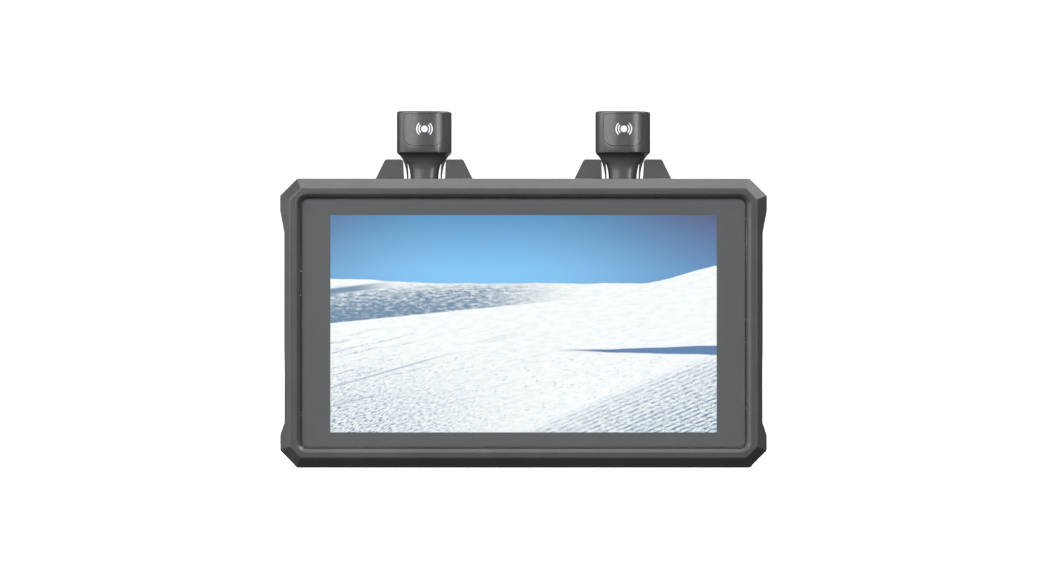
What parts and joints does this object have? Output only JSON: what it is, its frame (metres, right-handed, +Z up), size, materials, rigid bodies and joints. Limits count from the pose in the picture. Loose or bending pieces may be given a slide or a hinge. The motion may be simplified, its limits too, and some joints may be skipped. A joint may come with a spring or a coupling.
{
  "type": "on-camera wireless video monitor",
  "caption": "Flat rectangular camera-top video monitor with a lit glass-covered screen, chamfered dark housing, rear battery plate and stub antennas that fold down behind it.",
  "frame": {"origin": "centre of the bounding box's underside, which is the housing's bottom face", "axes": "+X to the right of a person facing the screen, +Y from the screen to the back, +Z up"},
  "size_m": [0.1536, 0.034, 0.1131],
  "materials": {
    "housing": "fine-grained moulded dark grey",
    "antenna_plastic": "smooth satin dark grey",
    "dark_plastic": "near-black moulded",
    "cover_glass": "clear polished sheet with a dark printed border",
    "display": null,
    "light_guide": "clear moulded sheet",
    "steel": "plain sheet and turned",
    "aluminium": "cast and extruded",
    "brass": "turned",
    "circuit_board": "green solder mask",
    "foam": "black tape",
    "cable_jacket": "black lead",
    "border_ink": "dark grey print on the back of the glass, seen only in the visual model",
    "symbol_ink": "white print on the antenna covers, seen only in the visual model",
    "flex": "amber film"
  },
  "bodies": {
    "body": {"front_bezel": "housing", "rear_cover": "housing", "cover_glass": "cover_glass", "glass_tape": "foam", "display_panel": "display", "light_guide": "light_guide", "backlight_tray": "steel", "radio_shield": "steel", "hdmi_socket_in": "steel", "hdmi_socket_out": "steel", "usb_socket": "steel", "power_switch": "steel", "mode_switch": "steel", "latch_spring": "steel", "case_screw_1": "steel", "case_screw_2": "steel", "case_screw_3": "steel", "case_screw_4": "steel", "hinge_pin_left": "steel", "hinge_pin_right": "steel", "hinge_washer_left_inner": "steel", "hinge_washer_left_outer": "steel", "hinge_washer_right_inner": "steel", "hinge_washer_right_outer": "steel", "mid_frame": "aluminium", "heat_sink": "aluminium", "display_flex": "flex", "main_board": "circuit_board", "radio_board": "circuit_board", "fan_frame": "dark_plastic", "headphone_socket": "dark_plastic", "dc_socket": "dark_plastic", "battery_plate": "dark_plastic", "contact_block": "dark_plastic", "tripod_socket_bottom": "brass", "tripod_socket_top": "brass", "contact_blade_1": "brass", "contact_blade_2": "brass", "contact_blade_3": "brass", "coax_left": "cable_jacket", "coax_right": "cable_jacket"},
    "power_button": {"power_button": "dark_plastic"},
    "mode_slider": {"mode_slider": "dark_plastic"},
    "battery_latch": {"battery_latch": "dark_plastic"},
    "fan_rotor": {"fan_rotor": "dark_plastic"},
    "antenna_left": {"antenna_arm_left": "antenna_plastic", "antenna_head_left": "antenna_plastic", "antenna_cover_left": "antenna_plastic", "antenna_element_left": "circuit_board"},
    "antenna_right": {"antenna_arm_right": "antenna_plastic", "antenna_head_right": "antenna_plastic", "antenna_cover_right": "antenna_plastic", "antenna_element_right": "circuit_board"}
  },
  "joints": [
    {"name": "antenna_left_fold", "type": "hinge", "parent": "body", "child": "antenna_left", "pos_m": [-0.03175, 0.0054, 0.087], "axis": [-1, 0, 0], "range_deg": [0, 180]},
    {"name": "antenna_right_fold", "type": "hinge", "parent": "body", "child": "antenna_right", "pos_m": [0.03175, 0.0054, 0.087], "axis": [-1, 0, 0], "range_deg": [0, 180]},
    {"name": "power_button_press", "type": "slide", "parent": "body", "child": "power_button", "axis": [-1, 0, 0], "range_m": [0, 0.0006], "stiffness_N_per_m": 150, "springref_m": -0.002},
    {"name": "mode_slider_slide", "type": "slide", "parent": "body", "child": "mode_slider", "axis": [0, 0, 1], "range_m": [0, 0.0044]},
    {"name": "battery_latch_slide", "type": "slide", "parent": "body", "child": "battery_latch", "axis": [0, 0, -1], "range_m": [0, 0.0022], "stiffness_N_per_m": 400, "springref_m": -0.003, "deforming": ["latch_spring"]},
    {"name": "fan_spin", "type": "hinge", "parent": "body", "child": "fan_rotor", "pos_m": [0.046, 0.0029, 0.033], "axis": [0, 1, 0], "continuous": true}
  ]
}
